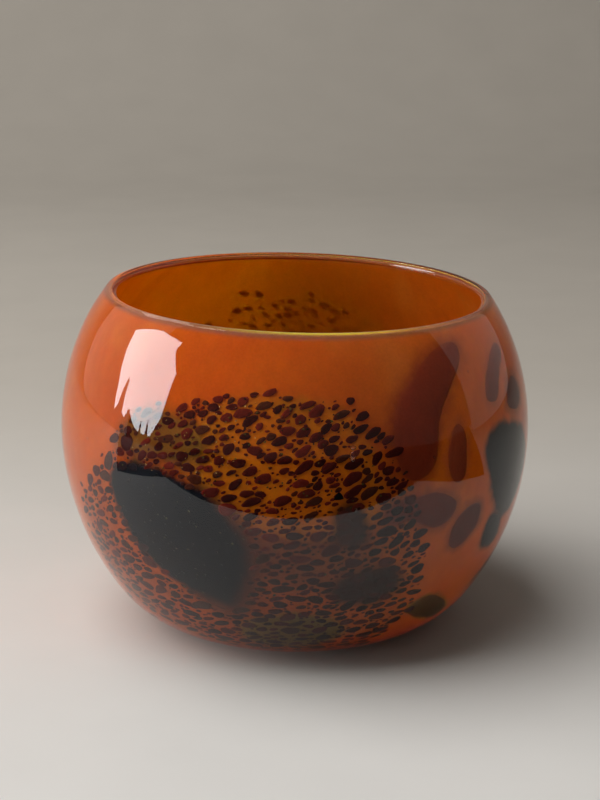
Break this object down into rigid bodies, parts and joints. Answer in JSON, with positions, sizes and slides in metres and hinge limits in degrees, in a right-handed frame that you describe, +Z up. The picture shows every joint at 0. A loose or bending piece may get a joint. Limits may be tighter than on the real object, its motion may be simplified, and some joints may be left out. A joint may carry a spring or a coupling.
{
  "type": "art glass bowl",
  "caption": "Rounded blown glass bowl with an inward-curving rim, an orange layer and coloured frit decoration under clear glass; a decorative open vessel.",
  "frame": {"origin": "centre of the flat foot, on the surface the bowl stands on", "axes": "+Z up along the bowl's axis of revolution; -Y is the front with the densest decoration; +X is to the right seen from the front"},
  "size_m": [0.15, 0.15, 0.1087],
  "materials": {
    "clear_glass": "clear blown glass, fire polished",
    "orange_glass": "opaque orange glass",
    "amber_glass": "streaky amber glass",
    "slate_glass": "dense blue-black glass",
    "violet_glass": "soft-edged violet glass",
    "olive_glass": "olive green glass",
    "maroon_frit": "melted maroon frit",
    "dark_stone": "opaque black inclusion"
  },
  "bodies": {
    "root": {"outer_clear_casing": "clear_glass", "inner_clear_gather": "clear_glass", "orange_overlay": "orange_glass", "amber_ground_front": "amber_glass", "amber_ground_back": "amber_glass", "slate_patch_front": "slate_glass", "slate_blob_right": "slate_glass", "slate_merges_flank": "slate_glass", "slate_patch_back": "slate_glass", "violet_petal_tall": "violet_glass", "violet_petal_slim": "violet_glass", "violet_streaks_shoulder": "violet_glass", "violet_petals_flank": "violet_glass", "violet_streaks_low": "violet_glass", "violet_petals_back": "violet_glass", "olive_patch_shoulder": "olive_glass", "olive_patch_foot": "olive_glass", "olive_blob_right": "olive_glass", "frit_chips_large": "maroon_frit", "frit_chips_shoulder": "maroon_frit", "frit_chips_flank": "maroon_frit", "frit_chips_foot": "maroon_frit", "frit_chips_left": "maroon_frit", "frit_chips_right": "maroon_frit", "frit_chips_back": "maroon_frit", "dark_inclusion": "dark_stone"}
  },
  "joints": []
}
